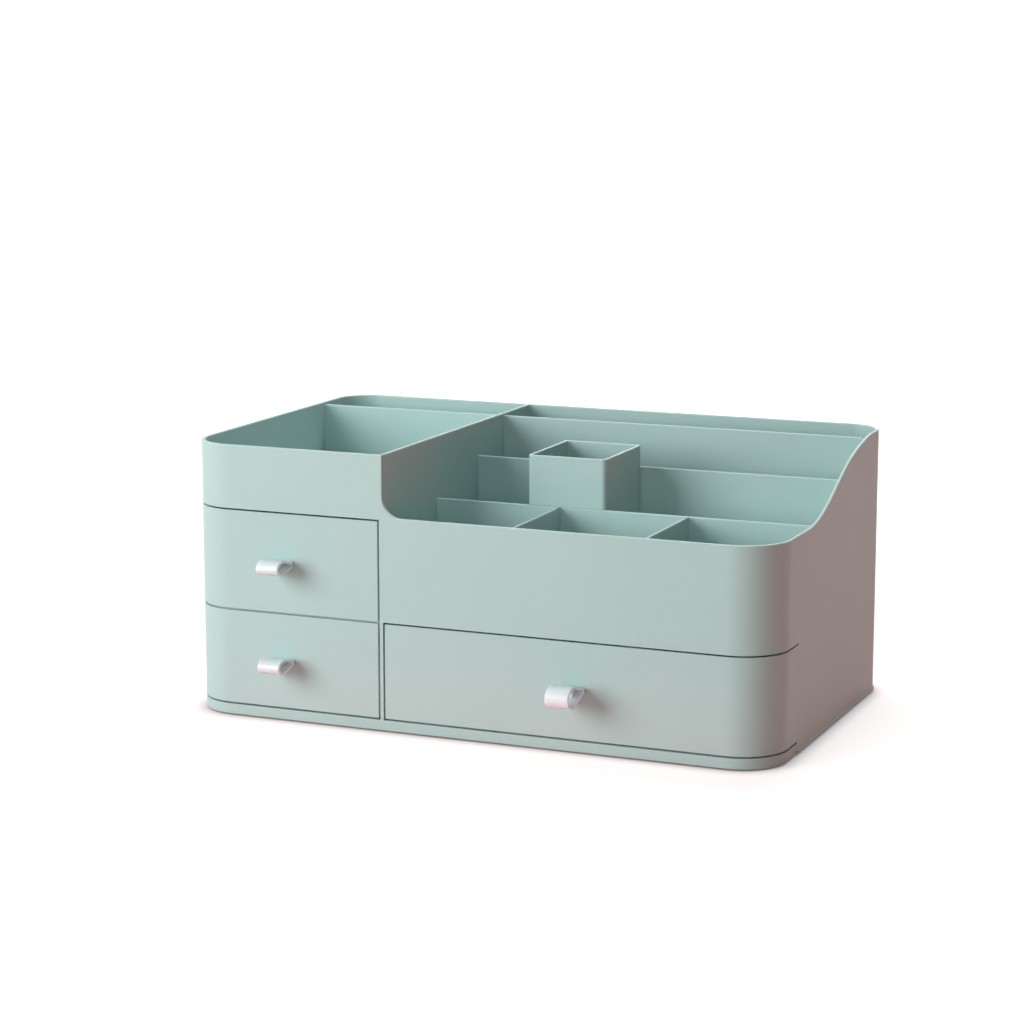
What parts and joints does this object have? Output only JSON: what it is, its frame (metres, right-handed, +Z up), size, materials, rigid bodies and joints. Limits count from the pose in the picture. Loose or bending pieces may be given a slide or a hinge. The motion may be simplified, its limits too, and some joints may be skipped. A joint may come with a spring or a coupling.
{
  "type": "makeup organizer",
  "caption": "Rounded plastic desk organizer with an open tray, a lower bin split by dividers, and drawers with pulls that slide out underneath.",
  "frame": {"origin": "on the table, under the middle of the whole object's box, with the drawer pulls included", "axes": "+X across the front to the viewer's right, +Y from the front to the back, +Z up"},
  "size_m": [0.3616, 0.2474, 0.1612],
  "materials": {
    "sage_plastic": "satin, fine even grain",
    "drawer_plastic": "satin, smoother inside",
    "white_plastic": "glossy",
    "screw_steel": "zinc plated",
    "foot_rubber": "matte"
  },
  "bodies": {
    "case": {"outer_shell": "sage_plastic", "centre_partition": "sage_plastic", "left_deck": "sage_plastic", "bin_deck": "sage_plastic", "left_shelf": "sage_plastic", "base_plate": "sage_plastic", "foot_pads": "foot_rubber", "cross_divider_front": "sage_plastic", "cross_divider_middle": "sage_plastic", "cross_divider_rear": "sage_plastic", "front_divider_left": "sage_plastic", "front_divider_right": "sage_plastic", "tall_cell": "sage_plastic"},
    "lower_left_drawer": {"lower_left_drawer_tray": "drawer_plastic", "lower_left_drawer_front": "sage_plastic", "lower_left_drawer_pull": "white_plastic", "lower_left_drawer_pull_screw": "screw_steel"},
    "upper_left_drawer": {"upper_left_drawer_tray": "drawer_plastic", "upper_left_drawer_front": "sage_plastic", "upper_left_drawer_pull": "white_plastic", "upper_left_drawer_pull_screw": "screw_steel"},
    "right_drawer": {"right_drawer_tray": "drawer_plastic", "right_drawer_front": "sage_plastic", "right_drawer_pull": "white_plastic", "right_drawer_pull_screw": "screw_steel"}
  },
  "joints": [
    {"name": "lower_left_drawer_slide", "type": "slide", "parent": "case", "child": "lower_left_drawer", "axis": [0, -1, 0], "range_m": [0, 0.15]},
    {"name": "upper_left_drawer_slide", "type": "slide", "parent": "case", "child": "upper_left_drawer", "axis": [0, -1, 0], "range_m": [0, 0.15]},
    {"name": "right_drawer_slide", "type": "slide", "parent": "case", "child": "right_drawer", "axis": [0, -1, 0], "range_m": [0, 0.15]}
  ]
}
